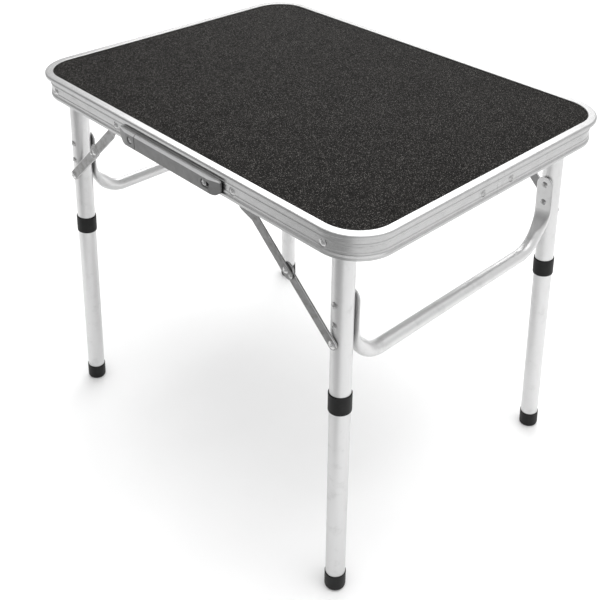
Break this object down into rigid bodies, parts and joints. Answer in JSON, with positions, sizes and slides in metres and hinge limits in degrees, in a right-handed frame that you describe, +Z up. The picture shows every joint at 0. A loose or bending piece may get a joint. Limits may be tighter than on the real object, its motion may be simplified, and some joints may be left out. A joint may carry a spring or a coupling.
{
  "type": "folding grooming table",
  "caption": "Small folding table with a black panel in a round-cornered aluminium rim, splayed tube legs with pull-out extensions, folding braces and a strap handle.",
  "frame": {"origin": "on the floor, under the middle of the top", "axes": "+X along the long side with the handle, +Y across to the opposite long side (the handle is on the -Y side), +Z up"},
  "size_m": [0.6, 0.4543, 0.525],
  "materials": {
    "laminate": "fine pebbled texture",
    "rim_aluminium": "satin anodised",
    "tube_aluminium": "satin anodised",
    "plain_aluminium": "mill finish",
    "zinc_steel": "zinc plated",
    "grip_plastic": "satin",
    "black_rubber": "matte",
    "black_plastic": "matte",
    "board": "raw fibreboard"
  },
  "bodies": {
    "top": {"top_board": "board", "top_laminate": "laminate", "backing_sheet": "plain_aluminium", "rim": "rim_aluminium", "splice_plate": "plain_aluminium", "splice_rivets": "zinc_steel", "bracket_front_left": "zinc_steel", "bracket_front_right": "zinc_steel", "bracket_back_left": "zinc_steel", "bracket_back_right": "zinc_steel", "bracket_screws": "zinc_steel", "leg_pivot_pins": "zinc_steel", "pivot_spacers": "black_plastic", "brace_top_rivets": "zinc_steel", "handle_posts": "zinc_steel", "handle_left_end": "grip_plastic"},
    "handle_left_flex": {"handle_left_flex": "grip_plastic"},
    "handle_grip": {"handle_grip": "grip_plastic"},
    "handle_right_flex": {"handle_right_flex": "grip_plastic"},
    "handle_right_end": {"handle_right_end": "grip_plastic"},
    "leg_frame_left": {"upper_leg_front_left": "tube_aluminium", "upper_leg_back_left": "tube_aluminium", "cross_bar_left": "tube_aluminium", "cross_bar_rivets_left": "zinc_steel", "collar_front_left": "black_rubber", "collar_back_left": "black_rubber", "brace_bottom_rivets_left": "zinc_steel"},
    "leg_frame_right": {"upper_leg_front_right": "tube_aluminium", "upper_leg_back_right": "tube_aluminium", "cross_bar_right": "tube_aluminium", "cross_bar_rivets_right": "zinc_steel", "collar_front_right": "black_rubber", "collar_back_right": "black_rubber", "brace_bottom_rivets_right": "zinc_steel"},
    "extension_front_left": {"extension_front_left": "tube_aluminium", "plug_front_left": "black_plastic", "foot_front_left": "black_rubber"},
    "brace_upper_front_left": {"brace_upper_front_left": "zinc_steel", "knee_rivets_front_left": "zinc_steel"},
    "brace_lower_front_left": {"brace_lower_front_left": "zinc_steel"},
    "extension_front_right": {"extension_front_right": "tube_aluminium", "plug_front_right": "black_plastic", "foot_front_right": "black_rubber"},
    "brace_upper_front_right": {"brace_upper_front_right": "zinc_steel", "knee_rivets_front_right": "zinc_steel"},
    "brace_lower_front_right": {"brace_lower_front_right": "zinc_steel"},
    "extension_back_left": {"extension_back_left": "tube_aluminium", "plug_back_left": "black_plastic", "foot_back_left": "black_rubber"},
    "brace_upper_back_left": {"brace_upper_back_left": "zinc_steel", "knee_rivets_back_left": "zinc_steel"},
    "brace_lower_back_left": {"brace_lower_back_left": "zinc_steel"},
    "extension_back_right": {"extension_back_right": "tube_aluminium", "plug_back_right": "black_plastic", "foot_back_right": "black_rubber"},
    "brace_upper_back_right": {"brace_upper_back_right": "zinc_steel", "knee_rivets_back_right": "zinc_steel"},
    "brace_lower_back_right": {"brace_lower_back_right": "zinc_steel"}
  },
  "joints": [
    {"name": "leg_frame_left_fold", "type": "hinge", "parent": "top", "child": "leg_frame_left", "pos_m": [-0.247, 0, 0.505], "axis": [0, 1, 0], "range_deg": [-68, 0]},
    {"name": "leg_frame_right_fold", "type": "hinge", "parent": "top", "child": "leg_frame_right", "pos_m": [0.247, 0, 0.505], "axis": [0, 1, 0], "range_deg": [0, 68]},
    {"name": "extension_front_left_pull", "type": "slide", "parent": "leg_frame_left", "child": "extension_front_left", "axis": [-0.0592, -0.0506, -0.997], "range_m": [0, 0.04]},
    {"name": "extension_front_right_pull", "type": "slide", "parent": "leg_frame_right", "child": "extension_front_right", "axis": [-0.0592, 0.0506, 0.997], "range_m": [-0.04, 0]},
    {"name": "extension_back_left_pull", "type": "slide", "parent": "leg_frame_left", "child": "extension_back_left", "axis": [-0.0592, 0.0506, -0.997], "range_m": [0, 0.04]},
    {"name": "extension_back_right_pull", "type": "slide", "parent": "leg_frame_right", "child": "extension_back_right", "axis": [-0.0592, -0.0506, 0.997], "range_m": [-0.04, 0]},
    {"name": "brace_upper_front_left_turn", "type": "hinge", "parent": "top", "child": "brace_upper_front_left", "pos_m": [-0.11, -0.212, 0.505], "axis": [0, 1, 0], "range_deg": [0, 37.04]},
    {"name": "brace_lower_front_left_turn", "type": "hinge", "parent": "leg_frame_left", "child": "brace_lower_front_left", "pos_m": [-0.25467, -0.20772, 0.37589], "axis": [0, 1, 0], "range_deg": [-39.81, 0]},
    {"name": "brace_upper_front_right_turn", "type": "hinge", "parent": "top", "child": "brace_upper_front_right", "pos_m": [0.11, -0.212, 0.505], "axis": [0, 1, 0], "range_deg": [-37.04, 0]},
    {"name": "brace_lower_front_right_turn", "type": "hinge", "parent": "leg_frame_right", "child": "brace_lower_front_right", "pos_m": [0.25467, -0.20772, 0.37589], "axis": [0, 1, 0], "range_deg": [0, 39.81]},
    {"name": "brace_upper_back_left_turn", "type": "hinge", "parent": "top", "child": "brace_upper_back_left", "pos_m": [-0.11, 0.212, 0.505], "axis": [0, 1, 0], "range_deg": [0, 37.04]},
    {"name": "brace_lower_back_left_turn", "type": "hinge", "parent": "leg_frame_left", "child": "brace_lower_back_left", "pos_m": [-0.25467, 0.20772, 0.37589], "axis": [0, 1, 0], "range_deg": [-39.81, 0]},
    {"name": "brace_upper_back_right_turn", "type": "hinge", "parent": "top", "child": "brace_upper_back_right", "pos_m": [0.11, 0.212, 0.505], "axis": [0, 1, 0], "range_deg": [-37.04, 0]},
    {"name": "brace_lower_back_right_turn", "type": "hinge", "parent": "leg_frame_right", "child": "brace_lower_back_right", "pos_m": [0.25467, 0.20772, 0.37589], "axis": [0, 1, 0], "range_deg": [0, 39.81]},
    {"name": "handle_left_flex_bend", "type": "hinge", "parent": "top", "child": "handle_left_flex", "pos_m": [-0.06, -0.2242, 0.502], "axis": [0, 0, -1], "range_deg": [0, 22]},
    {"name": "handle_grip_bend", "type": "hinge", "parent": "handle_left_flex", "child": "handle_grip", "pos_m": [-0.022, -0.2242, 0.502], "axis": [0, 0, -1], "range_deg": [-26, 4]},
    {"name": "handle_right_flex_bend", "type": "hinge", "parent": "handle_grip", "child": "handle_right_flex", "pos_m": [0.022, -0.2242, 0.502], "axis": [0, 0, -1], "range_deg": [-26, 4]},
    {"name": "handle_right_end_bend", "type": "hinge", "parent": "handle_right_flex", "child": "handle_right_end", "pos_m": [0.06, -0.2242, 0.502], "axis": [0, 0, -1], "range_deg": [-4, 26]}
  ],
  "couplings": [
    {"joint": "brace_upper_front_left_turn", "follows": "leg_frame_left_fold", "ratio": -0.54457},
    {"joint": "brace_lower_front_left_turn", "follows": "leg_frame_left_fold", "ratio": 0.58535},
    {"joint": "brace_upper_front_right_turn", "follows": "leg_frame_right_fold", "ratio": -0.54457},
    {"joint": "brace_lower_front_right_turn", "follows": "leg_frame_right_fold", "ratio": 0.58535},
    {"joint": "brace_upper_back_left_turn", "follows": "leg_frame_left_fold", "ratio": -0.54457},
    {"joint": "brace_lower_back_left_turn", "follows": "leg_frame_left_fold", "ratio": 0.58535},
    {"joint": "brace_upper_back_right_turn", "follows": "leg_frame_right_fold", "ratio": -0.54457},
    {"joint": "brace_lower_back_right_turn", "follows": "leg_frame_right_fold", "ratio": 0.58535},
    {"joint": "handle_grip_bend", "follows": "handle_left_flex_bend", "ratio": -1},
    {"joint": "handle_right_flex_bend", "follows": "handle_left_flex_bend", "ratio": -1},
    {"joint": "handle_right_end_bend", "follows": "handle_left_flex_bend", "ratio": 1}
  ]
}
